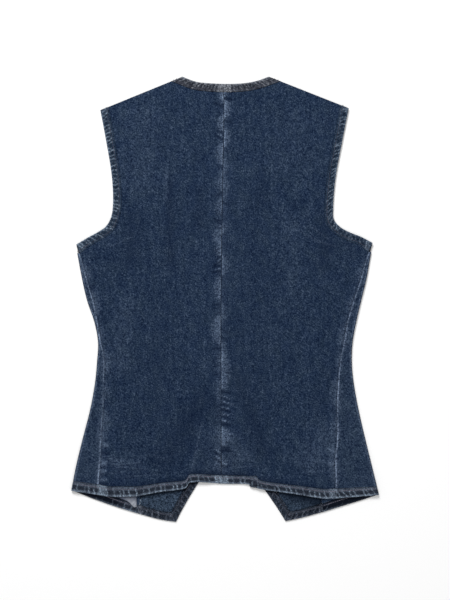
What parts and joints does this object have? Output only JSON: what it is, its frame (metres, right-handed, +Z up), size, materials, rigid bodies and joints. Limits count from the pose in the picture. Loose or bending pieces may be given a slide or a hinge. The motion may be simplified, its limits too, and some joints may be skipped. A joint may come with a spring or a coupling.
{
  "type": "denim vest laid flat",
  "caption": "Fitted sleeveless denim vest without a collar, buttoned and laid flat with its back up, pointed fronts showing under the back hem.",
  "frame": {"origin": "centre of the vest's footprint, on the surface that it lies on", "axes": "+Z up from the surface, out of the back; +Y from hem to neck; +X to the right as one looks down on the back"},
  "size_m": [0.4608, 0.6672, 0.0087],
  "materials": {
    "denim_back": "dark blue denim twill, matt, slightly worn",
    "denim_side": "dark blue denim twill, matt, slightly worn",
    "denim_front": "dark blue denim, its greyer inner face seen under the back hem",
    "denim_band": "turned and topstitched denim edge with pale wear on its ridges",
    "pale_cloth": "plain pale grey woven cloth",
    "button_metal": "aged plain metal, satin"
  },
  "bodies": {
    "root": {"back_left": "denim_back", "back_right": "denim_back", "side_front_left": "denim_side", "side_front_right": "denim_side", "front_left": "denim_front", "front_right": "denim_front", "armhole_band_back_left": "denim_band", "armhole_band_back_right": "denim_band", "armhole_band_front_left": "denim_band", "armhole_band_front_right": "denim_band", "neck_band_back": "denim_band", "hem_band_back": "denim_band", "hem_band_side_left": "denim_band", "hem_band_side_right": "denim_band", "hem_band_front_left": "denim_band", "hem_band_front_right": "denim_band", "edge_band_left": "denim_band", "edge_band_right": "denim_band", "label_cloth": "pale_cloth", "button_1": "button_metal", "button_2": "button_metal", "button_3": "button_metal", "button_4": "button_metal", "button_5": "button_metal"}
  },
  "joints": []
}
